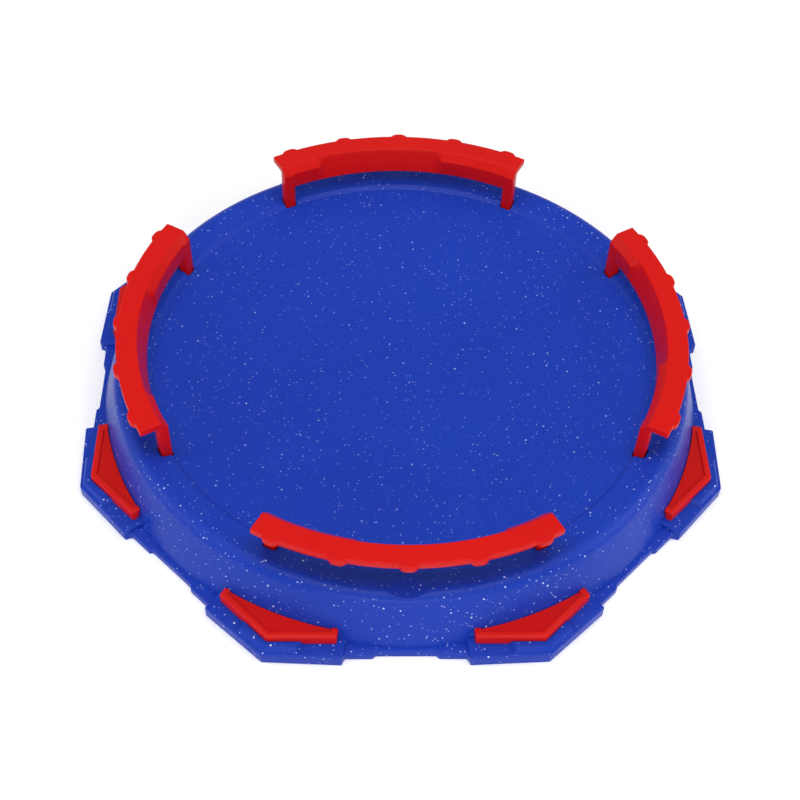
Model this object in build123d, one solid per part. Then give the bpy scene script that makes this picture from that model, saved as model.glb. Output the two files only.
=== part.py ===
from build123d import *
import os
from math import atan2, cos, degrees, radians, sin, tan

# A spinning-top arena: one moulded bowl on an octagonal skirt, four guard rails that
# plug into it and eight corner caps pinned to its feet.
# Millimetres, +Z up, origin on the table under the bowl's centre, +Y to the back.

# Bowl, measured on its outer (top) skin
rim_radius = 143.4  # where the line of the outer wall meets the plane of the rim
rim_height = 32.2  # table to the top of the rim
rim_round = 6.0  # rounding of the rim's outer shoulder
wall_flare = 17.4  # degrees that the outer wall leans out on its way down
skin = 2.2  # moulded wall thickness everywhere in the bowl
crest_width = 0.8  # level top of the rim, inside the shoulder's rounding
shelf_width = 10.4  # ring-shaped shelf between the bank and the shoulder
shelf_fall = 2.2  # how far the shelf drops towards the bank
bank_width = 2.0  # little bank around the playing floor
bank_height = 1.8
floor_depth = 9.4  # dish of the playing floor
bank_round = 0.9
crease_round = 0.6

# Saddles: shallow troughs across the rim, one behind the middle of each rail
saddle_width = 17.0
saddle_depth = 1.5

# Skirt and feet
skirt_height = 4.0
side_count = 8  # sides of the octagonal skirt, with a foot at each corner
skirt_ledge = 2.0  # from the bowl's wall to the edge of the skirt at mid side
side_step = 1.4  # the skirt steps out by this much beside the middle of a side
side_step_start = 13.8  # half width of the middle of a side
side_step_run = 1.2
foot_reach = 17.8  # from the bowl's wall to the corner of a foot
foot_arm = 36.2  # length of each of a foot's two outer edges
foot_arm_angle = 19.8  # degrees between an outer edge and the tangent
foot_step_run = 1.4
foot_height = 6.5
ledge_rise = 2.5  # raised ledge in front of a cap, above the foot
ledge_half_width = 15.3
ledge_margin = 1.2  # from the ledge to the foot's outer edge

# Corner caps
cap_setback = 6.2  # from a foot's corner to its cap's outer corner
cap_edge_angle = 22.5  # a cap's outer edges run parallel to the octagon
cap_half_length = 28.9
cap_height = 5.7
cap_border = 3.0  # width of the raised border
cap_recess = 1.0  # depth of the panel inside the border
cap_skin = 1.8
cap_round = 0.5
cap_gap = 0.3  # cap to wall and cap to ledge
pin_radius = 2.0
pin_offset = 16.0  # each pin's distance from the cap's middle
pin_setback = 3.6  # from the cap's outer edge to its pins
pin_depth = 5.5  # how far a pin reaches below the cap
pin_gap = 0.05
boss_wall = 1.6
boss_height = 2.2

# Guard rails
rail_count = 4
rail_setback = 1.4  # from the top of the bank in to the rail's curtain
rail_width = 13.7  # radial width of the rail, from curtain to outer edge
rail_rise = 22.4  # from the top of the rim to the top of the rail
rail_half_angle = 29.5  # degrees from the rail's middle to its end
curtain_height = 13.3
curtain_skin = 2.2
rail_skin = 2.2
lip_height = 3.6  # turned-down lip at the outer edge and at both ends
lip_skin = 1.8
lug_angle = 12.7  # degrees between the lugs on the outer edge
lug_reach = 1.9
lug_root = 8.6
lug_tip = 5.6
bevel_width = 3.5  # bevel along the inner top edge, across the rail's top
bevel_drop = 4.3  # and down its curtain
leg_width = 5.8
leg_thickness = 5.4
leg_round = 0.8
leg_inset = 1.3  # degrees from the rail's end to the leg's middle
leg_advance = 0.2  # the leg stands this far inside the curtain
plug_depth = 15.7  # leg below the edge of the playing floor
socket_gap = 0.6  # all round the leg
seat_gap = 0.05
socket_skin = 1.8

# Ribs under the bowl, one to each side of the skirt
rib_start = 98.0
rib_thickness = 1.8
rib_clearance = 1.0  # from the table

# Worked out from the sizes above
shoulder_width = rim_round * tan(radians((90 - wall_flare) / 2))
rim_edge = rim_radius - shoulder_width - crest_width
bank_top = rim_edge - shelf_width
floor_radius = bank_top - bank_width
shelf_height = rim_height - shelf_fall
floor_edge_height = shelf_height - bank_height
floor_centre_height = floor_edge_height - floor_depth
rail_inner = bank_top - rail_setback
rail_outer = rail_inner + rail_width
rail_top = rim_height + rail_rise
leg_radius = rail_inner - leg_advance + leg_thickness / 2
leg_foot = floor_edge_height - plug_depth
ledge_height = foot_height + ledge_rise
cap_bottom = foot_height + seat_gap
cap_top = cap_bottom + cap_height
ground_cut = 20.0  # how far cutting solids run past the table
half_side = 180.0 / side_count  # degrees from a corner to the middle of a side
flare = tan(radians(wall_flare))


def wall_radius(height, depth=0.0):
    """Radius of the outer wall at a height, on the skin or some depth behind it."""
    return rim_radius + (rim_height - height) * flare - depth / cos(radians(wall_flare))


wall_foot = wall_radius(skirt_height)
skirt_reach = wall_foot + skirt_ledge
foot_corner = wall_foot + foot_reach
cap_corner = foot_corner - cap_setback


def turned(point, angle):
    """A point turned about the bowl's axis, in degrees."""
    x, y = point
    a = radians(angle)
    return (x * cos(a) - y * sin(a), x * sin(a) + y * cos(a))


def polar(radius, angle):
    return turned((radius, 0), angle)


def bowl_section(depth, low):
    """Half section of the bowl, its skin moved in by depth, down to the height low."""
    centre = (0, floor_centre_height - depth)
    floor_edge = (floor_radius, floor_edge_height - depth)
    middle_radius = floor_radius / 2
    middle = (middle_radius, centre[1] + (floor_edge[1] - centre[1]) / 4)
    bank = (bank_top + depth / 2, shelf_height - depth)
    edge = (rim_edge, rim_height - depth)
    corner = (wall_radius(rim_height - depth, depth), rim_height - depth)
    foot = (wall_radius(low, depth), low)
    with BuildSketch(Plane.XZ) as section:
        with BuildLine():
            ThreePointArc(centre, middle, floor_edge)
            Polyline(floor_edge, bank, edge, corner, foot, (0, low), centre)
        make_face()
        shoulder = section.vertices().sort_by_distance(Vector(corner[0], corner[1], 0))[0]
        fillet(shoulder, rim_round - depth)
        crest = section.vertices().sort_by_distance(Vector(bank[0], bank[1], 0))[0]
        fillet(crest, bank_round)
        crease = section.vertices().sort_by_distance(
            Vector(floor_edge[0], floor_edge[1], 0)
        )[0]
        fillet(crease, crease_round)
    return section.sketch


def foot_arm_end(side):
    a = radians(foot_arm_angle)
    return (foot_corner - foot_arm * sin(a), side * foot_arm * cos(a))


def skirt_outline():
    """The skirt's plan: a foot at each corner, and two small steps between the feet."""
    points = []
    for k in range(side_count):
        corner_angle = half_side + k * 2 * half_side
        end = foot_arm_end(1)
        end_across, end_along = turned(end, -half_side)
        along = -end_along
        reach = skirt_reach + side_step
        side = [
            (reach, -(along - foot_step_run)),
            (reach, -(side_step_start + side_step_run)),
            (skirt_reach, -side_step_start),
            (skirt_reach, side_step_start),
            (reach, side_step_start + side_step_run),
            (reach, along - foot_step_run),
        ]
        points += [turned(foot_arm_end(-1), corner_angle)]
        points += [turned((foot_corner, 0), corner_angle)]
        points += [turned(end, corner_angle)]
        points += [turned(p, corner_angle + half_side) for p in side]
    return make_face(Polyline(*points, close=True))


def foot_plan(inset=0.0):
    """One foot's chevron on the +X axis, its outer edges moved in by inset."""
    inner = wall_radius(foot_height) - 4 * skin
    ends = [foot_arm_end(side) for side in (-1, 1)]
    half_angle = degrees(atan2(ends[1][1], ends[1][0]))
    back = [polar(inner, side * half_angle) for side in (1, -1)]
    plan = make_face(Polyline(ends[0], (foot_corner, 0), ends[1], *back, close=True))
    return offset(plan, -inset, kind=Kind.INTERSECTION) if inset else plan


def cap_plan(grow=0.0):
    """One cap's outline on the +X axis, before the bowl's wall cuts its inner edge."""
    tip = (cap_corner, 0)
    fall = cap_half_length * tan(radians(cap_edge_angle))
    ends = [(cap_corner - fall, side * cap_half_length) for side in (-1, 1)]
    half_angle = degrees(atan2(ends[1][1], ends[1][0]))
    inner = wall_radius(rim_height) - skin
    back = [polar(inner, side * half_angle) for side in (1, -1)]
    plan = make_face(Polyline(ends[0], tip, ends[1], *back, close=True))
    return offset(plan, grow, kind=Kind.INTERSECTION) if grow else plan


def prism(plan, low, high):
    return extrude(Plane.XY.offset(low) * plan, high - low)


def wall_cone(grow):
    """Everything inside the bowl's outer wall, grown outwards."""
    low, high = -ground_cut, rim_height
    section = make_face(
        Polyline(
            (0, low),
            (wall_radius(low, -grow), low),
            (wall_radius(high, -grow), high),
            (0, high),
            close=True,
        )
    )
    return revolve(Plane.XZ * section, Axis.Z)


def pin_places():
    """Where a cap's two pins stand, on the +X axis."""
    across = cap_corner - pin_offset * tan(radians(cap_edge_angle)) - pin_setback
    return [(across, side * pin_offset) for side in (-1, 1)]


def leg_places():
    """Middle angle of each leg of a rail, from the rail's middle."""
    return [side * (rail_half_angle - leg_inset) for side in (-1, 1)]


def leg_block(grow, low, high):
    block = Box(
        leg_thickness + 2 * grow,
        leg_width + 2 * grow,
        high - low,
        align=(Align.CENTER, Align.CENTER, Align.MIN),
    )
    block = fillet(block.edges().filter_by(Axis.Z), leg_round + grow)
    return Pos(leg_radius, 0, low) * block


def around_z(part, angle):
    return Rot(0, 0, angle) * part


def rail_angles():
    return [k * 360 / rail_count for k in range(rail_count)]


def corner_angles():
    return [half_side + k * 2 * half_side for k in range(side_count)]


def ring_sector(inner, outer, half_angle, low, high):
    arc_out = ThreePointArc(
        polar(outer, -half_angle), polar(outer, 0), polar(outer, half_angle)
    )
    arc_in = ThreePointArc(
        polar(inner, half_angle), polar(inner, 0), polar(inner, -half_angle)
    )
    ends = [
        Line(polar(outer, half_angle), polar(inner, half_angle)),
        Line(polar(inner, -half_angle), polar(outer, -half_angle)),
    ]
    return prism(make_face([arc_out, ends[0], arc_in, ends[1]]), low, high)


def make_bowl():
    body = revolve(bowl_section(0, 0), Axis.Z)
    body += prism(skirt_outline(), 0, skirt_height)
    hollow = revolve(bowl_section(skin, -ground_cut), Axis.Z)
    hollow += prism(
        offset(skirt_outline(), -skin, kind=Kind.INTERSECTION),
        -ground_cut,
        skirt_height - skin,
    )
    pocket = prism(cap_plan(cap_gap), foot_height, rim_height)
    strip = Pos(foot_corner, 0, 0) * Box(foot_corner, 2 * ledge_half_width, 2 * rim_height)
    foot = prism(foot_plan(), 0, foot_height)
    ledge = prism(foot_plan(ledge_margin), foot_height, ledge_height) & strip
    foot += ledge - pocket
    foot_hollow = prism(foot_plan(skin), -ground_cut, foot_height - skin)
    for angle in corner_angles():
        body += around_z(foot, angle)
        hollow += around_z(foot_hollow, angle)
    body -= hollow

    rib = Box(
        wall_radius(0) - rib_start,
        rib_thickness,
        rim_height - rib_clearance,
        align=(Align.MIN, Align.CENTER, Align.MIN),
    )
    inside = revolve(bowl_section(skin / 2, 0), Axis.Z)
    rib = (Pos(rib_start, 0, rib_clearance) * rib) & inside
    for k in range(side_count):
        body += around_z(rib, k * 2 * half_side)

    sleeve_low = leg_foot - seat_gap - socket_skin
    sleeve = leg_block(socket_gap + socket_skin, sleeve_low, rim_height) & inside
    socket = leg_block(socket_gap, leg_foot - seat_gap, rim_height + skin)
    saddle_radius = (saddle_width**2 / 4 + saddle_depth**2) / (2 * saddle_depth)
    saddle = Cylinder(saddle_radius, 2 * shelf_width, rotation=(0, 90, 0))
    saddle = Pos(rim_edge, 0, rim_height - saddle_depth + saddle_radius) * saddle
    for angle in rail_angles():
        body -= around_z(saddle, angle)
        for leg_angle in leg_places():
            body += around_z(sleeve, angle + leg_angle)
            body -= around_z(socket, angle + leg_angle)

    boss = Cylinder(
        pin_radius + pin_gap + boss_wall,
        boss_height + skin / 2,
        align=(Align.CENTER, Align.CENTER, Align.MIN),
    )
    hole = Cylinder(pin_radius + pin_gap, 2 * foot_height + skin)
    boss_low = foot_height - skin - boss_height
    for angle in corner_angles():
        for x, y in pin_places():
            body += around_z(Pos(x, y, boss_low) * boss, angle)
            body -= around_z(Pos(x, y, 0) * hole, angle)
    return body


def make_cap():
    wall = wall_cone(cap_gap)
    cap = prism(cap_plan(), cap_bottom, cap_top) - wall
    cap = fillet(cap.edges().group_by(Axis.Z)[-1], cap_round)
    border_cone = wall_cone(cap_gap + cap_round)
    panel_cut = prism(cap_plan(-cap_border), cap_top - cap_recess, cap_top + skin)
    cap -= panel_cut - border_cone
    hollow = prism(cap_plan(-cap_skin), cap_bottom - skin, cap_top - cap_recess - cap_skin)
    cap -= hollow - wall_cone(cap_gap + cap_skin)
    pin = Cylinder(
        pin_radius,
        cap_top - cap_recess - cap_skin / 2 - cap_bottom + pin_depth,
        align=(Align.CENTER, Align.CENTER, Align.MIN),
    )
    for x, y in pin_places():
        cap += Pos(x, y, cap_bottom - pin_depth) * pin
    return cap


def make_lug(angle):
    overlap = 2 * lip_skin
    outline = Polyline(
        (rail_outer - overlap, -lug_root / 2),
        (rail_outer, -lug_root / 2),
        (rail_outer + lug_reach, -lug_tip / 2),
        (rail_outer + lug_reach, lug_tip / 2),
        (rail_outer, lug_root / 2),
        (rail_outer - overlap, lug_root / 2),
        close=True,
    )
    lug = prism(make_face(outline), rail_top - lip_height, rail_top)
    # behind the lip the lug is only as thick as the rail's top
    under = Cylinder(rail_outer - lip_skin, lip_height - rail_skin, align=(Align.CENTER,) * 3)
    under = Pos(0, 0, rail_top - lip_height + (lip_height - rail_skin) / 2) * under
    return around_z(lug - under, angle)


def past_bevel(depth):
    """Everything past the bevel on a rail's inner top edge, moved in by depth."""
    left, right = rail_inner - bevel_width / 2, rail_inner + 1.5 * bevel_width
    low, high = rail_top - 1.5 * bevel_drop, rail_top + bevel_drop / 2
    slope = atan2(bevel_drop, bevel_width)
    across, down = depth * sin(slope), depth * cos(slope)
    corners = [(left, low), (right, high), (left, high)]
    section = make_face(Polyline(*[(x + across, z - down) for x, z in corners], close=True))
    return revolve(Plane.XZ * section, Axis.Z)


def make_rail():
    end_angle = degrees(lip_skin / rail_inner)
    low = rail_top - lip_height
    rail = ring_sector(rail_inner, rail_outer, rail_half_angle, low, rail_top)
    hollow = ring_sector(
        rail_inner + curtain_skin,
        rail_outer - lip_skin,
        rail_half_angle - end_angle,
        rail_top - curtain_height,
        rail_top - rail_skin,
    )
    rail -= hollow - past_bevel(curtain_skin)
    curtain_outer = rail_inner + curtain_skin
    curtain_low = rail_top - curtain_height
    leg_half_angle = degrees(leg_width / 2 / leg_radius)
    curtain_half = rail_half_angle - leg_inset + leg_half_angle / 2
    rail += ring_sector(rail_inner, curtain_outer, curtain_half, curtain_low, rail_top)
    for angle in leg_places():
        rail += around_z(leg_block(0, leg_foot, rail_top - rail_skin / 2), angle)
    for step in (-2, -1, 0, 1, 2):
        rail += make_lug(step * lug_angle)
    return rail - past_bevel(0)


os.makedirs("parts", exist_ok=True)

export_step(make_bowl(), "parts/arena_bowl.step")

cap = make_cap()
corner_names = [
    "right_rear",
    "rear_right",
    "rear_left",
    "left_rear",
    "left_front",
    "front_left",
    "front_right",
    "right_front",
]
for name, angle in zip(corner_names, corner_angles()):
    export_step(around_z(cap, angle), f"parts/corner_cap_{name}.step")

rail = make_rail()
for name, angle in zip(("right", "rear", "left", "front"), rail_angles()):
    export_step(around_z(rail, angle), f"parts/guard_rail_{name}.step")
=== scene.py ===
import math

import bmesh
import bpy
from mathutils import Matrix, Vector


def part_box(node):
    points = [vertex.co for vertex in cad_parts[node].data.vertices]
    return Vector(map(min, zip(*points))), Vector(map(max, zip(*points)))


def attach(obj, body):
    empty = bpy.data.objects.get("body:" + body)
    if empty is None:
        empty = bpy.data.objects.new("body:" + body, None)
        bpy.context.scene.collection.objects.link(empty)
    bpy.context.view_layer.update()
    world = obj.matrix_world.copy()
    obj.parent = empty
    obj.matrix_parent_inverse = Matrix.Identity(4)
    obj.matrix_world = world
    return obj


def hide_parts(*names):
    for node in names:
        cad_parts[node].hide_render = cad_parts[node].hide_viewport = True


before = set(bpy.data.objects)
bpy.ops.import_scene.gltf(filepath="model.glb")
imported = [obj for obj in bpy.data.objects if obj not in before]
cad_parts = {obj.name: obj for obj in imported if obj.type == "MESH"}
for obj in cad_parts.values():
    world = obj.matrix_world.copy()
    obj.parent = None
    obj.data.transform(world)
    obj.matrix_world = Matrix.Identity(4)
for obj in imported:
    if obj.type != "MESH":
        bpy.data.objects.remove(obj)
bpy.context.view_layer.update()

MM = 0.001


# ---------------------------------------------------------------------------------------
# Camera: stands in front of the arena and looks down on it at about fifty degrees, from
# 0.71 m, leaning over by a couple of degrees. The arena is turned slightly to it.
arena_turn = math.radians(2.7749)
look_down = math.radians(50.7876)
camera_roll = math.radians(2.385)
camera_distance = 714.6375 * MM
aim = Vector((-0.0434, -4.721, 0.0)) * MM

back = Vector((0, -math.cos(look_down), math.sin(look_down)))
level_right = Vector((1, 0, 0))
level_up = level_right.cross(-back)
right = level_right * math.cos(camera_roll) + level_up * math.sin(camera_roll)
up = level_up * math.cos(camera_roll) - level_right * math.sin(camera_roll)
unturn = Matrix.Rotation(-arena_turn, 3, "Z")
stand = Matrix((unturn @ right, unturn @ up, unturn @ back)).transposed().to_4x4()
stand.translation = unturn @ (aim + back * camera_distance)

camera_data = bpy.data.cameras.new("camera")
camera_data.sensor_width = 36.0
camera_data.lens = 61.7305
camera_data.clip_start = 0.01
camera = bpy.data.objects.new("camera", camera_data)
bpy.context.scene.collection.objects.link(camera)
camera.matrix_world = stand
bpy.context.scene.camera = camera
bpy.context.scene.view_settings.view_transform = "Standard"


# ---------------------------------------------------------------------------------------
# Studio: a plain white table under one large overhead softbox, a softbox at each side
# and an even white room.
def srgb(code):
    """A colour of six sRGB hex digits as linear red, green, blue and alpha."""
    parts = [int(code[i : i + 2], 16) / 255 for i in (1, 3, 5)]
    line = [p / 12.92 if p <= 0.04045 else ((p + 0.055) / 1.055) ** 2.4 for p in parts]
    return (*line, 1.0)


def add(tree, kind, inputs=None, **settings):
    """Adds one node with its settings, and sets its inputs to values or links them."""
    node = tree.nodes.new(kind)
    for name, value in settings.items():
        setattr(node, name, value)
    for name, value in (inputs or {}).items():
        if isinstance(value, bpy.types.NodeSocket):
            tree.links.new(value, node.inputs[name])
        else:
            node.inputs[name].default_value = value
    return node


def new_material(name):
    """An empty material and its Principled shader, wired to the output."""
    material = bpy.data.materials.new(name)
    material.use_nodes = True
    tree = material.node_tree
    tree.nodes.clear()
    shader = add(tree, "ShaderNodeBsdfPrincipled")
    add(tree, "ShaderNodeOutputMaterial", {"Surface": shader.outputs["BSDF"]})
    return material, tree, shader


room = bpy.data.worlds.new("white_room")
room.use_nodes = True
room.node_tree.nodes["Background"].inputs["Color"].default_value = srgb("#ffffff")
room.node_tree.nodes["Background"].inputs["Strength"].default_value = 0.5
bpy.context.scene.world = room


def softbox(name, place, target, size, watts):
    lamp = bpy.data.lights.new(name, "AREA")
    lamp.shape = "RECTANGLE"
    lamp.size, lamp.size_y = size
    lamp.energy = watts
    holder = bpy.data.objects.new(name, lamp)
    bpy.context.scene.collection.objects.link(holder)
    aim_line = Vector(target) - Vector(place)
    holder.matrix_world = (
        Matrix.Translation(place) @ aim_line.to_track_quat("-Z", "Y").to_matrix().to_4x4()
    )


softbox("overhead_softbox", (0.0, -0.25, 1.5), (0, 0, 0), (1.3, 1.1), 12.5)
softbox("right_softbox", (1.25, -0.15, 0.75), (0, 0, 0), (0.9, 0.9), 5.5)
softbox("left_softbox", (-1.25, -0.15, 0.75), (0, 0, 0), (0.9, 0.9), 4.5)
softbox("front_softbox", (0.0, -1.5, 0.55), (0, 0, 0), (1.2, 0.7), 7.0)

table_mesh = bpy.data.meshes.new("table")
sheet = bmesh.new()
bmesh.ops.create_grid(sheet, x_segments=8, y_segments=8, size=3.0)
sheet.to_mesh(table_mesh)
sheet.free()
table = bpy.data.objects.new("table", table_mesh)
bpy.context.scene.collection.objects.link(table)
table_white, tree, shader = new_material("white_laminate_table")
shader.inputs["Base Color"].default_value = srgb("#fbfbfb")
shader.inputs["Roughness"].default_value = 0.9
shader.inputs["Specular IOR Level"].default_value = 0.2
table_mesh.materials.append(table_white)


# ---------------------------------------------------------------------------------------
# Bowl: one injection moulding in translucent blue ABS, 2.2 mm thick. A dished floor, a
# low bank, a sloping shelf and a rounded shoulder turn about one axis. The octagonal
# skirt, the eight feet with their ledges and the ribs underneath are part of it.
rim_radius = 143.4
rim_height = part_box("arena_bowl")[1].z / MM
rim_round = 6.0
flare = math.tan(math.radians(17.4))
skin = 2.2
crest_width = 0.8
shelf_width, shelf_fall = 10.4, 2.2
bank_width, bank_height = 2.0, 1.8
floor_depth = 9.4
saddle_width, saddle_depth = 17.0, 1.5
skirt_height, skirt_ledge = 4.0, 2.0
foot_height, foot_reach, foot_arm = 6.5, 17.8, 36.2
foot_angle = math.radians(19.8)
ledge_rise, ledge_half_width, ledge_margin = 2.5, 15.3, 1.2

turn_half = math.radians((90 - 17.4) / 2)
rim_edge = rim_radius - rim_round * math.tan(turn_half) - crest_width
bank_top = rim_edge - shelf_width
floor_radius = bank_top - bank_width
shelf_height = rim_height - shelf_fall
floor_edge = shelf_height - bank_height


def wall_radius(height, depth=0.0):
    return rim_radius + (rim_height - height) * flare - depth * math.hypot(1, flare)


def polar(radius, angle, height=0.0):
    a = math.radians(angle)
    return Vector((radius * math.cos(a), radius * math.sin(a), height)) * MM


def to_object(bm, name):
    """Closes a bmesh into an object at the origin, its faces outwards."""
    bmesh.ops.remove_doubles(bm, verts=bm.verts[:], dist=0.002 * MM)
    bmesh.ops.recalc_face_normals(bm, faces=bm.faces[:])
    mesh = bpy.data.meshes.new(name)
    bm.to_mesh(mesh)
    bm.free()
    piece = bpy.data.objects.new(name, mesh)
    bpy.context.scene.collection.objects.link(piece)
    return piece


def join(body, tool, operation):
    """Adds, cuts away or keeps the common part of a tool, which is then thrown away."""
    change = body.modifiers.new("join", "BOOLEAN")
    change.operation = operation
    change.solver = "MANIFOLD"
    change.object = tool
    bpy.context.view_layer.update()
    graph = bpy.context.evaluated_depsgraph_get()
    result = bpy.data.meshes.new_from_object(body.evaluated_get(graph))
    body.modifiers.clear()
    old = body.data
    body.data = result
    result.name = body.name
    bpy.data.meshes.remove(old)
    bpy.data.objects.remove(tool)


def soften(bm, edges, cut, segments, **more):
    """Rounds edges, or vertices of an open line, to a small cut in millimetres."""
    bmesh.ops.bevel(
        bm,
        geom=edges,
        offset=cut * MM,
        offset_type="OFFSET",
        segments=segments,
        profile=0.5,
        material=-1,
        **{"affect": "EDGES", **more},
    )


def dish(name, depth, low, steps):
    """The turned part of the bowl as a solid, its skin moved in by depth."""
    bm = bmesh.new()
    curve = (floor_radius**2 + floor_depth**2) / (2 * floor_depth)  # the floor's radius
    rings, mid_wall = 26, 12
    line = [(0.0, floor_edge - floor_depth - depth)]
    for k in range(1, rings):
        r = floor_radius * k / rings
        line.append((r, line[0][1] + curve - math.sqrt(curve**2 - r**2)))
    corners = {"crease": len(line)}
    line.append((floor_radius, floor_edge - depth))
    corners["bank"] = len(line)
    shelf_inner = bank_top + depth / 2
    line.append((shelf_inner, shelf_height - depth))
    for k in range(1, 10):
        r = shelf_inner + (rim_edge - shelf_inner) * k / 10
        line.append((r, shelf_height - depth + shelf_fall * k / 10))
    corners["rim"] = len(line)
    line.append((rim_edge, rim_height - depth))
    corners["shoulder"] = len(line)
    line.append((wall_radius(rim_height - depth, depth), rim_height - depth))
    line.append((wall_radius(mid_wall, depth), mid_wall))
    line.append((wall_radius(low, depth), low))
    line.append((0.0, low))
    verts = [bm.verts.new((r * MM, 0, z * MM)) for r, z in line]
    for pair in zip(verts, verts[1:]):
        bm.edges.new(pair)
    rounds = {
        "crease": (0.18, 3),
        "bank": (0.24, 3),
        "rim": (0.25, 2),
        "shoulder": ((rim_round - depth) * math.tan(turn_half), 12),
    }
    for corner, (cut, segments) in rounds.items():
        soften(bm, [verts[corners[corner]]], cut, segments, affect="VERTICES")
    bmesh.ops.spin(
        bm,
        geom=bm.verts[:] + bm.edges[:],
        cent=(0, 0, 0),
        axis=(0, 0, 1),
        angle=2 * math.pi,
        steps=steps,
        use_merge=True,
    )
    return to_object(bm, name)


def prism(name, outlines, low, high, corner=0.0, top=0.0):
    """Flat outlines raised into blocks, with rounded upright corners and top edges."""
    bm = bmesh.new()
    for outline in outlines:
        bm.faces.new([bm.verts.new((x * MM, y * MM, low * MM)) for x, y in outline])
    raised = bmesh.ops.extrude_face_region(bm, geom=bm.faces[:])
    lifted = [v for v in raised["geom"] if isinstance(v, bmesh.types.BMVert)]
    bmesh.ops.translate(bm, verts=lifted, vec=(0, 0, (high - low) * MM))
    bmesh.ops.recalc_face_normals(bm, faces=bm.faces[:])
    if corner:
        upright = [e for e in bm.edges if abs(e.verts[0].co.z - e.verts[1].co.z) > 0.1 * MM]
        soften(bm, upright, corner, 3)
    if top:
        level = [e for e in bm.edges if min(v.co.z for v in e.verts) > (high - 0.01) * MM]
        soften(bm, level, top, 3)
    return to_object(bm, name)


def turned(points, angle):
    c, s = math.cos(math.radians(angle)), math.sin(math.radians(angle))
    return [(x * c - y * s, x * s + y * c) for x, y in points]


corner_angles = [22.5 + 45 * k for k in range(8)]
rail_angles = [90 * k for k in range(4)]
foot_corner = wall_radius(skirt_height) + foot_reach
skirt_reach = wall_radius(skirt_height) + skirt_ledge
arm = (foot_arm * math.sin(foot_angle), foot_arm * math.cos(foot_angle))
chevron = [(foot_corner - arm[0], -arm[1]), (foot_corner, 0), (foot_corner - arm[0], arm[1])]

notch_run, notch_end = 1.4, 15.0  # the skirt's step beside a foot, and where it stops
tuck = 0.25  # the feet's own blocks make the outside at the feet
skirt, skirt_inside = [], []
hollow_corner = foot_corner - skin / math.cos(foot_angle)
hollow_arm = 1 - 1.5 * skin / foot_arm
inner_end = (hollow_corner - arm[0] * hollow_arm, arm[1] * hollow_arm)
chevron_inside = [(inner_end[0], -inner_end[1]), (hollow_corner, 0), inner_end]
along = -turned([chevron[2]], -22.5)[0][1]
reach, within = skirt_reach + notch_run, skirt_reach - skin
side = [(reach, notch_run - along), (reach, -notch_end), (skirt_reach, -13.8)]
side += [(x, -y) for x, y in reversed(side)]
for angle in corner_angles:
    skirt += turned([(x - tuck, y * 0.99) for x, y in chevron], angle)
    skirt += turned(side, angle + 22.5)
    skirt_inside += turned(chevron_inside, angle)
    skirt_inside += turned([(within, -along), (within, along)], angle + 22.5)


def foot_plan(outer_edge):
    """A foot's plan, from its outer edge back into the bowl's wall."""
    back = [(wall_radius(foot_height) - 4 * skin, 0)]
    spread = math.degrees(math.atan2(outer_edge[2][1], outer_edge[2][0]))
    return outer_edge + turned(back, spread) + turned(back, -spread)


edge_out = foot_corner - ledge_margin / math.cos(foot_angle)
cap_corner = foot_corner - 6.2
cap_slope = math.tan(math.radians(22.5))
edge_in = cap_corner + 0.12


def ledge_outline(shrink):
    """The step in front of a cap, its outer side and its ends moved in by shrink."""
    out, half = edge_out - shrink, ledge_half_width - shrink
    return [
        (out - half * math.tan(foot_angle), -half),
        (out, 0),
        (out - half * math.tan(foot_angle), half),
        (edge_in - half * cap_slope, half),
        (edge_in, 0),
        (edge_in - half * cap_slope, -half),
    ]


bowl = dish("bowl", 0.0, 0.0, 720)

# Shallow saddles cross the rim behind the middle of each rail.
saddle_curve = (saddle_width**2 / 4 + saddle_depth**2) / (2 * saddle_depth)
for vertex in bowl.data.vertices:
    across = vertex.co.to_2d() / MM
    for angle in rail_angles:
        x, y = turned([across], -angle)[0]
        if x > bank_top and abs(y) < saddle_width / 2:
            sag = saddle_curve - math.sqrt(saddle_curve**2 - y**2)
            level = (rim_height - saddle_depth + sag) * MM
            vertex.co.z = min(vertex.co.z, level)

below = -20.0  # the tools that hollow the underside start here
join(bowl, prism("skirt", [skirt], 0, skirt_height, corner=0.5, top=0.5), "UNION")
feet = [turned(foot_plan(chevron), a) for a in corner_angles]
feet_inside = [turned(foot_plan(chevron_inside), a) for a in corner_angles]
join(bowl, prism("feet", feet, 0, foot_height, corner=0.6, top=0.6), "UNION")
ledge_top = foot_height + ledge_rise
ledge_slope = 1.5  # the ledge's outer sides lean in by this much
bm = bmesh.new()
for angle in corner_angles:
    rings = []
    for height, shrink in ((foot_height - 1, 0.0), (foot_height, 0.0), (ledge_top, ledge_slope)):
        points = turned(ledge_outline(shrink), angle)
        rings.append([bm.verts.new((x * MM, y * MM, height * MM)) for x, y in points])
    bm.faces.new(rings[0])
    bm.faces.new(rings[-1])
    for a, b in zip(rings, rings[1:]):
        for k in range(len(a)):
            bm.faces.new((a[k - 1], a[k], b[k], b[k - 1]))
bmesh.ops.recalc_face_normals(bm, faces=bm.faces[:])
rim = [e for e in bm.edges if min(v.co.z for v in e.verts) > (foot_height + 0.01) * MM]
soften(bm, rim, 0.3, 3)
join(bowl, to_object(bm, "ledges"), "UNION")
join(bowl, dish("bowl_hollow", skin, below, 240), "DIFFERENCE")
join(bowl, prism("skirt_hollow", [skirt_inside], below, skirt_height - skin), "DIFFERENCE")
join(bowl, prism("foot_hollows", feet_inside, below, foot_height - skin), "DIFFERENCE")

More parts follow.
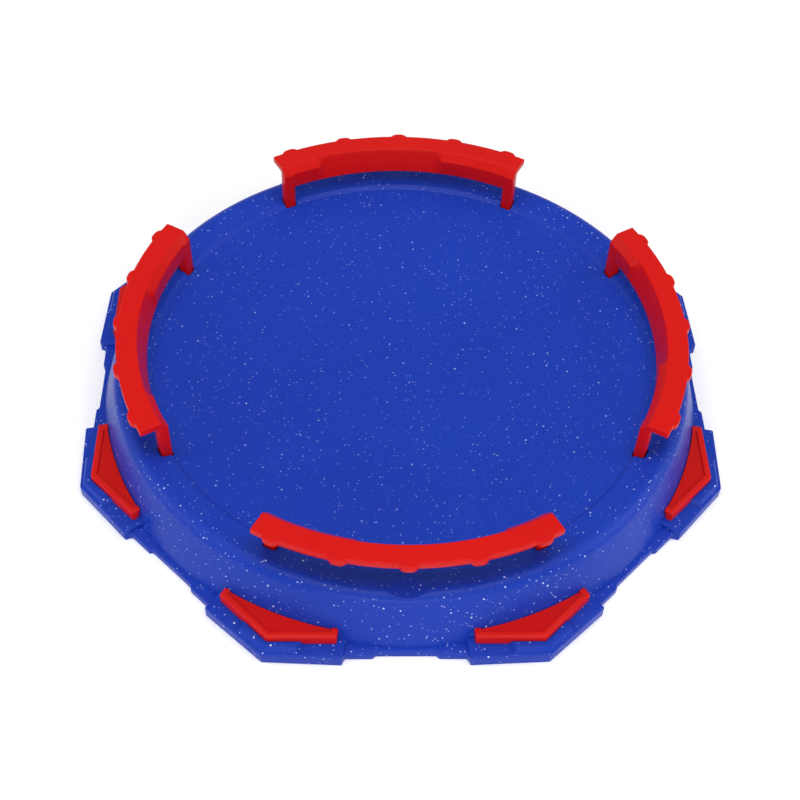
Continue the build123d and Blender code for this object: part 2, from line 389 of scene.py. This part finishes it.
# Ribs run in from the wall, and sleeves hold the rails' legs; both stop in the skin.
rail_inner = bank_top - 1.4  # the inner side of a rail's curtain
leg_inner = rail_inner - 0.2
leg_thick, leg_half = 5.4, 2.9
leg_bearing = 28.2  # degrees from a rail's middle to the middle of a leg
leg_middle = leg_inner + leg_thick / 2
leg_angles = [a + side * leg_bearing for a in rail_angles for side in (-1, 1)]


def blocks(inner, outer, half, angles):
    outline = [(inner, -half), (outer, -half), (outer, half), (inner, half)]
    return [turned(outline, a) for a in angles]


socket_gap, sleeve_wall = 0.6, 1.8
grow = socket_gap + sleeve_wall
socket_low = 12.45  # a little below the leg's foot
rib_plan = blocks(98.0, wall_radius(0) - 0.5, 0.9, [45 * k for k in range(8)])
sleeve_reach = leg_thick / 2 + grow
sleeve_plan = blocks(
    leg_middle - sleeve_reach, leg_middle + sleeve_reach, leg_half + grow, leg_angles
)
ribs = prism("ribs", rib_plan, 1.0, rim_height)
join(ribs, dish("rib_trim", skin / 2, 0.0, 240), "INTERSECT")
join(bowl, ribs, "UNION")
sleeves = prism("sleeves", sleeve_plan, socket_low - sleeve_wall, rim_height, corner=1.5)
join(sleeves, dish("sleeve_trim", skin / 2, 0.0, 240), "INTERSECT")
join(bowl, sleeves, "UNION")
socket_plan = blocks(
    leg_middle - leg_thick / 2 - socket_gap,
    leg_middle + leg_thick / 2 + socket_gap,
    leg_half + socket_gap,
    leg_angles,
)
join(bowl, prism("sockets", socket_plan, socket_low, 40, corner=1.4), "DIFFERENCE")

# Two bosses under each foot take the pins of its cap.
pin_side, pin_setback = 16.0, 3.6
pin_x = cap_corner - pin_side * cap_slope - pin_setback
pin_places = [(pin_x, side * pin_side) for side in (-1, 1)]


def rods(name, radius, low, high):
    """Upright round rods at every pin's place."""
    bm = bmesh.new()
    for angle in corner_angles:
        for x, y in turned(pin_places, angle):
            bmesh.ops.create_cone(
                bm,
                cap_ends=True,
                segments=28,
                radius1=radius * MM,
                radius2=radius * MM,
                depth=(high - low) * MM,
                matrix=Matrix.Translation((x * MM, y * MM, (low + high) / 2 * MM)),
            )
    return to_object(bm, name)


join(bowl, rods("bosses", 3.65, 2.1, 5.3), "UNION")
join(bowl, rods("pin_holes", 2.05, -1.0, 7.5), "DIFFERENCE")
bowl.data.shade_smooth()
bowl.data.set_sharp_from_angle(angle=math.radians(32))

# Blue ABS with silver flake: the colour is deep and slightly uneven, and the skin is
# glossy with a faint ripple. The real flakes are 0.2 to 0.4 mm across. They are drawn at
# 0.4 to 0.6 mm, so that they show, as pale dots of many strengths.
glitter_blue, tree, shader = new_material("moulded_blue_abs_with_silver_flake")
place = add(tree, "ShaderNodeTexCoord").outputs["Object"]


def flake_layer(spacing, size, share, strength, contrast, shift):
    """Pale dots, one to a cell of the given spacing in millimetres, of random strength."""
    moved = add(tree, "ShaderNodeVectorMath", {0: place, 1: shift}, operation="ADD")
    cells = add(
        tree,
        "ShaderNodeTexVoronoi",
        {"Vector": moved.outputs[0], "Scale": 1000.0 / spacing},
        feature="F1",
    )
    dot = add(
        tree,
        "ShaderNodeMapRange",
        {
            "Value": cells.outputs["Distance"],
            "From Min": size * 0.6 / spacing,
            "From Max": size / spacing,
            "To Min": 1.0,
            "To Max": 0.0,
        },
    )
    parts = add(tree, "ShaderNodeSeparateColor", {"Color": cells.outputs["Color"]})
    shown = add(
        tree,
        "ShaderNodeMath",
        {0: parts.outputs["Red"], 1: 1.0 - share},
        operation="GREATER_THAN",
    )
    power = add(
        tree, "ShaderNodeMath", {0: parts.outputs["Green"], 1: contrast}, operation="POWER"
    )
    lit = power.outputs[0]
    for factor in (strength, shown.outputs[0], dot.outputs[0]):
        lit = add(tree, "ShaderNodeMath", {0: lit, 1: factor}, operation="MULTIPLY").outputs[0]
    return lit


fine = flake_layer(2.0, 0.42, 0.95, 0.7, 3.0, (0.0, 0.0, 0.0))
bright = flake_layer(4.4, 0.55, 0.8, 1.0, 1.9, (0.031, 0.017, 0.005))
both = add(tree, "ShaderNodeMath", {0: fine, 1: bright}, operation="MAXIMUM").outputs[0]
# In the floor the flakes lie deeper and flatter, and show at about half strength.
level_place = add(tree, "ShaderNodeVectorMath", {0: place, 1: (1, 1, 0)}, operation="MULTIPLY")
from_axis = add(tree, "ShaderNodeVectorMath", {0: level_place.outputs[0]}, operation="LENGTH")
in_floor = add(
    tree,
    "ShaderNodeMapRange",
    {
        "Value": from_axis.outputs["Value"],
        "From Min": floor_radius * MM,
        "From Max": rim_edge * MM,
        "To Min": 0.48,
        "To Max": 1.0,
    },
)
flakes = add(
    tree, "ShaderNodeMath", {0: both, 1: in_floor.outputs["Result"]}, operation="MULTIPLY"
).outputs[0]
cloud = add(tree, "ShaderNodeTexNoise", {"Vector": place, "Scale": 14.0, "Detail": 3.0})
body_colour = add(
    tree,
    "ShaderNodeMix",
    {
        "Factor": cloud.outputs["Fac"],
        "A": srgb("#123098"),
        "B": srgb("#1438a8"),
    },
    data_type="RGBA",
)
speckled = add(
    tree,
    "ShaderNodeMix",
    {"Factor": flakes, "A": body_colour.outputs["Result"], "B": srgb("#d3deff")},
    data_type="RGBA",
)
tree.links.new(speckled.outputs["Result"], shader.inputs["Base Color"])
gloss = add(tree, "ShaderNodeTexNoise", {"Vector": place, "Scale": 60.0, "Detail": 4.0})
rough = add(
    tree,
    "ShaderNodeMapRange",
    {"Value": gloss.outputs["Fac"], "To Min": 0.28, "To Max": 0.42},
)
tree.links.new(rough.outputs["Result"], shader.inputs["Roughness"])
shader.inputs["IOR"].default_value = 1.5
shader.inputs["Specular IOR Level"].default_value = 0.16
ripple = add(tree, "ShaderNodeTexNoise", {"Vector": place, "Scale": 180.0, "Detail": 2.0})
bump = add(
    tree,
    "ShaderNodeBump",
    {"Height": ripple.outputs["Fac"], "Strength": 0.05, "Distance": 0.0004},
)
tree.links.new(bump.outputs["Normal"], shader.inputs["Normal"])
bowl.data.materials.clear()
bowl.data.materials.append(glitter_blue)
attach(bowl, "arena")
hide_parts("arena_bowl")


# ---------------------------------------------------------------------------------------
# Corner caps: eight red chevrons, moulded in polypropylene. Each has a raised border
# along its outer edges round a sunk panel, is hollow underneath, and is held by two pins.
def red_plastic(name, code, low_gloss, high_gloss):
    """Opaque red plastic: slightly uneven colour and gloss, and a faint ripple."""
    material, tree, shader = new_material(name)
    place = add(tree, "ShaderNodeTexCoord").outputs["Object"]
    cloud = add(tree, "ShaderNodeTexNoise", {"Vector": place, "Scale": 25.0, "Detail": 3.0})
    value = add(
        tree,
        "ShaderNodeMapRange",
        {"Value": cloud.outputs["Fac"], "To Min": 0.94, "To Max": 1.06},
    )
    shade = add(
        tree,
        "ShaderNodeHueSaturation",
        {"Color": srgb(code), "Value": value.outputs["Result"]},
    )
    tree.links.new(shade.outputs["Color"], shader.inputs["Base Color"])
    gloss = add(tree, "ShaderNodeTexNoise", {"Vector": place, "Scale": 90.0, "Detail": 4.0})
    rough = add(
        tree,
        "ShaderNodeMapRange",
        {"Value": gloss.outputs["Fac"], "To Min": low_gloss, "To Max": high_gloss},
    )
    tree.links.new(rough.outputs["Result"], shader.inputs["Roughness"])
    shader.inputs["IOR"].default_value = 1.49
    shader.inputs["Specular IOR Level"].default_value = 0.14
    ripple = add(tree, "ShaderNodeTexNoise", {"Vector": place, "Scale": 240.0, "Detail": 2.0})
    bump = add(
        tree,
        "ShaderNodeBump",
        {"Height": ripple.outputs["Fac"], "Strength": 0.06, "Distance": 0.0004},
    )
    tree.links.new(bump.outputs["Normal"], shader.inputs["Normal"])
    return material


cap_border_red = red_plastic("moulded_red_polypropylene", "#c4140e", 0.30, 0.42)
# The sunk panel gets a darker red: painted shade of the recess it sits in.
painted_shade_panel_red = red_plastic("red_panel_with_painted_recess_shade", "#7c120e", 0.34, 0.46)

cap_thick, cap_hollow, cap_half = 5.7, 2.9, 28.9
cap_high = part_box("corner_cap_right_rear")[1].z / MM
cap_low = cap_high - cap_thick
cap_end_x = cap_corner - cap_half * cap_slope
cap_spread = math.degrees(math.atan2(cap_half, cap_end_x))
cap_border, cap_recess, cap_skin = 3.0, 1.0, 1.8
cap_lean = -0.3  # the cap stands this far off the bowl's wall
panel_level = cap_high - cap_recess
panel_spread = cap_spread - math.degrees(math.asin(cap_border / wall_radius(cap_high, cap_lean)))
arc_steps = 28
arc = [panel_spread * (2 * k / arc_steps - 1) for k in range(arc_steps + 1)]

# The panel's outer edges run beside the cap's, a border's width inside them. Along the
# wall there is no border.
panel_corner = cap_corner - cap_border / math.cos(math.radians(22.5))
end_sine, end_cosine = math.sin(math.radians(cap_spread)), math.cos(math.radians(cap_spread))
panel_half = (panel_corner * end_sine - cap_border) / (cap_slope * end_sine + end_cosine)
panel_end_x = panel_corner - panel_half * cap_slope

bm = bmesh.new()


def row(points, height):
    return [bm.verts.new((x * MM, y * MM, height * MM)) for x, y in points]


def along_wall(angles, height):
    return row([turned([(wall_radius(height, cap_lean), 0)], a)[0] for a in angles], height)


cap_outline = [(cap_end_x, -cap_half), (cap_corner, 0), (cap_end_x, cap_half)]
panel_outline = [(panel_end_x, -panel_half), (panel_corner, 0), (panel_end_x, panel_half)]
low_ends = along_wall([-cap_spread, cap_spread], cap_low)
high_ends = along_wall([-cap_spread, cap_spread], cap_high)
border_ends = along_wall([-panel_spread, panel_spread], cap_high)
low_arc = along_wall(arc, cap_low)
panel_arc = along_wall(arc, panel_level)
low_edge = [low_ends[0], *row(cap_outline, cap_low), low_ends[1]]
high_edge = [high_ends[0], *row(cap_outline, cap_high), high_ends[1]]
border_edge = [border_ends[0], *row(panel_outline, cap_high), border_ends[1]]
panel_edge = [panel_arc[0], *row(panel_outline, panel_level), panel_arc[-1]]
for a, b in ((low_edge, high_edge), (high_edge, border_edge), (border_edge, panel_edge)):
    for k in range(4):
        bm.faces.new((a[k], a[k + 1], b[k + 1], b[k]))
for k in range(arc_steps):
    bm.faces.new((low_arc[k], low_arc[k + 1], panel_arc[k + 1], panel_arc[k]))
for k in (0, -1):
    bm.faces.new((low_ends[k], low_arc[k], panel_arc[k], border_ends[k], high_ends[k]))
panel = bm.faces.new([*panel_edge, *reversed(panel_arc[1:-1])])
panel.material_index = 1
bm.faces.new([*low_edge, *reversed(low_arc)])
bmesh.ops.recalc_face_normals(bm, faces=bm.faces[:])
bottom = [f for f in bm.faces if f.calc_center_median().z < (cap_low + 0.01) * MM]
bmesh.ops.inset_region(bm, faces=bottom, thickness=cap_skin * MM, use_even_offset=True)
dug = bmesh.ops.extrude_face_region(bm, geom=bottom)
dug_verts = [v for v in dug["geom"] if isinstance(v, bmesh.types.BMVert)]
bmesh.ops.translate(bm, verts=dug_verts, vec=(0, 0, cap_hollow * MM))
if bottom[0].is_valid:
    bmesh.ops.delete(bm, geom=bottom, context="FACES_ONLY")
bmesh.ops.recalc_face_normals(bm, faces=bm.faces[:])
sharp = [
    e
    for e in bm.edges
    if len(e.link_faces) == 2
    and e.calc_face_angle() > math.radians(40)
    and max(v.co.z for v in e.verts) > (cap_high - 1.2) * MM
]
soften(bm, sharp, 0.35, 3)
first_cap = to_object(bm, "cap_master")
pin_length, pin_low = 9.0, cap_low - 5.5
pins = bmesh.new()
for x, y in pin_places:
    bmesh.ops.create_cone(
        pins,
        cap_ends=True,
        segments=28,
        radius1=1.7 * MM,
        radius2=2.0 * MM,
        depth=pin_length * MM,
        matrix=Matrix.Translation((x * MM, y * MM, (pin_low + pin_length / 2) * MM)),
    )
join(first_cap, to_object(pins, "cap_pins"), "UNION")
first_cap.data.shade_smooth()
first_cap.data.set_sharp_from_angle(angle=math.radians(32))
first_cap.data.materials.clear()
first_cap.data.materials.append(cap_border_red)
first_cap.data.materials.append(painted_shade_panel_red)

corner_names = [
    "right_rear",
    "rear_right",
    "rear_left",
    "left_rear",
    "left_front",
    "front_left",
    "front_right",
    "right_front",
]
for name, angle in zip(corner_names, corner_angles):
    mesh = first_cap.data.copy()
    mesh.transform(Matrix.Rotation(math.radians(angle), 4, "Z"))
    cap = bpy.data.objects.new(f"cap_{name}", mesh)
    bpy.context.scene.collection.objects.link(cap)
    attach(cap, "arena")
    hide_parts(f"corner_cap_{name}")
bpy.data.objects.remove(first_cap)


# ---------------------------------------------------------------------------------------
# Guard rails: four arcs, moulded in glossy red ABS. Each has a flat top with a lip and five
# lugs on its outer edge, a curtain down its inner side with a bevel over it near both ends,
# and a square leg near each end that drops into a socket of the bowl.
rail_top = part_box("guard_rail_right")[1].z / MM
rail_outer = rail_inner + 13.7
rail_half = 29.5
curtain_back = rail_inner + 2.2
lip_inner = rail_outer - 1.8
lip_drop, curtain_drop, plate = 3.6, 13.3, 2.2
lug_spacing, lug_root, lug_out = 12.7, 8.6, 1.9
bevel_width, bevel_drop = 3.5, 4.3
sloped_from, sloped_to, sloped_blend = -10.5, 20.2, 1.0  # degrees
end_lip = math.degrees(1.8 / rail_inner)
lug_half = math.degrees(lug_root / 2 / rail_outer)

stops = {-rail_half, rail_half, end_lip - rail_half, rail_half - end_lip}
stops |= {sloped_from, sloped_from + sloped_blend, sloped_to - sloped_blend, sloped_to}
for side in (-1, 1):
    for k in range(-2, 3):
        stops.add(k * lug_spacing + side * lug_half)
stops = sorted(stops)

bm = bmesh.new()
radii = (rail_inner, curtain_back, lip_inner, rail_outer)
start = [bm.verts.new(polar(r, stops[0], rail_top)) for r in radii]
moving = start + [bm.edges.new(pair) for pair in zip(start, start[1:])]
for a, b in zip(stops, stops[1:]):
    at_lug = min(abs((a + b) / 2 - k * lug_spacing) for k in range(-2, 3)) < 0.1
    swept = bmesh.ops.spin(
        bm,
        geom=moving,
        cent=(0, 0, 0),
        axis=(0, 0, 1),
        angle=math.radians(b - a),
        steps=8 if at_lug else math.ceil(b - a),
    )
    moving = swept["geom_last"]
bmesh.ops.remove_doubles(bm, verts=bm.verts[:], dist=0.001 * MM)


def bearing(co):
    return math.degrees(math.atan2(co.y, co.x))


for k in range(-2, 3):
    middle = k * lug_spacing
    edges = [
        e
        for e in bm.edges
        if all(v.co.to_2d().length > (rail_outer - 0.01) * MM for v in e.verts)
        and abs(bearing((e.verts[0].co + e.verts[1].co) / 2) - middle) < lug_half
    ]
    grown = bmesh.ops.extrude_edge_only(bm, edges=edges)
    for v in grown["geom"]:
        if isinstance(v, bmesh.types.BMVert):
            off = math.radians(bearing(v.co) - middle)
            share = rail_outer * math.sin(off) / (lug_root / 2)
            bulge = max(0.2, (1 - min(1.0, abs(share)) ** 3) ** 0.6)
            along = lug_root / 2 * share * 0.92
            x, y = turned([(rail_outer + lug_out * bulge, along)], middle)[0]
            v.co = Vector((x, y, rail_top)) * MM

shell = bmesh.ops.extrude_face_region(bm, geom=bm.faces[:])
under = [v for v in shell["geom"] if isinstance(v, bmesh.types.BMVert)]
bmesh.ops.translate(bm, verts=under, vec=(0, 0, -plate * MM))
bmesh.ops.recalc_face_normals(bm, faces=bm.faces[:])


def lower_faces(low, test):
    """Faces that look down at a height, where the test of radius and bearing holds."""
    found = []
    for f in bm.faces:
        middle = f.calc_center_median()
        if abs(middle.z / MM - low) < 0.05 and abs(f.normal.z) > 0.9:
            if test(middle.to_2d().length / MM, abs(bearing(middle))):
                found.append(f)
    return found


def pull_down(faces, drop):
    moved = bmesh.ops.extrude_face_region(bm, geom=faces)
    verts = [v for v in moved["geom"] if isinstance(v, bmesh.types.BMVert)]
    bmesh.ops.translate(bm, verts=verts, vec=(0, 0, -drop * MM))
    left = [f for f in faces if f.is_valid]
    if left:
        bmesh.ops.delete(bm, geom=left, context="FACES_ONLY")
    bmesh.ops.recalc_face_normals(bm, faces=bm.faces[:])


inside_end = rail_half - end_lip
lip = lower_faces(
    rail_top - plate,
    lambda r, a: r < curtain_back or r > lip_inner or a > inside_end,
)
pull_down(lip, lip_drop - plate)
curtain = lower_faces(rail_top - lip_drop, lambda r, a: r < curtain_back and a < inside_end)
pull_down(curtain, curtain_drop - lip_drop)

# The inner top edge is bevelled near both ends. Between the bevels the whole curtain
# slopes. The hollow behind it follows, to keep one thickness.
slope = bevel_width / bevel_drop
bevel_low = rail_top - bevel_drop
lean = math.atan2(bevel_drop, bevel_width)
hollow_low = bevel_low - plate * (math.cos(lean) - (1 - math.sin(lean)) / slope)
for height in (bevel_low, hollow_low):
    bmesh.ops.bisect_plane(
        bm,
        geom=bm.verts[:] + bm.edges[:] + bm.faces[:],
        plane_co=(0, 0, height * MM),
        plane_no=(0, 0, 1),
    )
for v in bm.verts:
    radius, height = v.co.to_2d().length / MM, v.co.z / MM
    moved = radius
    sloped = sloped_from + 0.1 < bearing(v.co) < sloped_to - 0.1 and height < rail_top - 0.01
    if sloped and radius < curtain_back + 0.02:
        moved = radius + (height - rail_top + curtain_drop) * bevel_width / curtain_drop
    elif abs(radius - rail_inner) < 0.02 and height > bevel_low:
        moved = rail_inner + (height - bevel_low) * slope
    elif abs(radius - curtain_back) < 0.02 and height > rail_top - 0.01:
        moved = rail_inner + bevel_width + 1.5
    elif abs(radius - curtain_back) < 0.02 and height > hollow_low:
        if abs(bearing(v.co)) < inside_end + 0.01:
            moved = curtain_back + (height - hollow_low) * slope
    v.co.xy = v.co.xy * (moved / radius)
bmesh.ops.recalc_face_normals(bm, faces=bm.faces[:])
sharp = [e for e in bm.edges if len(e.link_faces) == 2 and e.calc_face_angle() > math.radians(38)]
soften(bm, sharp, 0.35, 3, clamp_overlap=True)
first_rail = to_object(bm, "rail_master")

leg_foot = floor_edge - 15.7  # how far the legs reach below the floor's edge
leg_shoulder = bevel_low - (rail_inner - leg_inner) / slope
leg_outer = leg_inner + leg_thick
for side in (-1, 1):
    bm = bmesh.new()
    plan = [
        (leg_inner, -leg_half),
        (leg_outer, -leg_half),
        (leg_outer, leg_half),
        (leg_inner, leg_half),
    ]
    square = bm.faces.new([bm.verts.new(Vector((x, y, leg_foot)) * MM) for x, y in plan])
    grown = bmesh.ops.extrude_face_region(bm, geom=[square])
    verts = [v for v in grown["geom"] if isinstance(v, bmesh.types.BMVert)]
    bmesh.ops.translate(bm, verts=verts, vec=(0, 0, (leg_shoulder - leg_foot) * MM))
    top_face = [f for f in grown["geom"] if isinstance(f, bmesh.types.BMFace)]
    grown = bmesh.ops.extrude_face_region(bm, geom=top_face)
    verts = [v for v in grown["geom"] if isinstance(v, bmesh.types.BMVert)]
    for v in verts:
        v.co.z = (rail_top - 1.0) * MM
        if v.co.x < leg_middle * MM:
            v.co.x = (rail_inner + (bevel_drop - 1.0) * slope + 0.1) * MM
    left = [f for f in top_face if f.is_valid]
    if left:
        bmesh.ops.delete(bm, geom=left, context="FACES_ONLY")
    bmesh.ops.recalc_face_normals(bm, faces=bm.faces[:])
    round_edges = [
        e
        for e in bm.edges
        if abs(e.verts[0].co.z - e.verts[1].co.z) > 0.5 * MM
    ]
    soften(bm, round_edges, 0.8, 4)
    foot_edges = [e for e in bm.edges if max(v.co.z for v in e.verts) < (leg_foot + 0.01) * MM]
    soften(bm, foot_edges, 0.4, 2)
    bmesh.ops.rotate(
        bm,
        verts=bm.verts[:],
        cent=(0, 0, 0),
        matrix=Matrix.Rotation(math.radians(side * leg_bearing), 3, "Z"),
    )
    join(first_rail, to_object(bm, "leg"), "UNION")
first_rail.data.shade_smooth()
first_rail.data.set_sharp_from_angle(angle=math.radians(32))

rail_red = red_plastic("moulded_glossy_red_abs", "#c4100b", 0.22, 0.34)
first_rail.data.materials.clear()
first_rail.data.materials.append(rail_red)
for name, angle in zip(("right", "rear", "left", "front"), rail_angles):
    mesh = first_rail.data.copy()
    mesh.transform(Matrix.Rotation(math.radians(angle), 4, "Z"))
    rail = bpy.data.objects.new(f"rail_{name}_piece", mesh)
    bpy.context.scene.collection.objects.link(rail)
    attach(rail, f"rail_{name}")
    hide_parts(f"guard_rail_{name}")
bpy.data.objects.remove(first_rail)
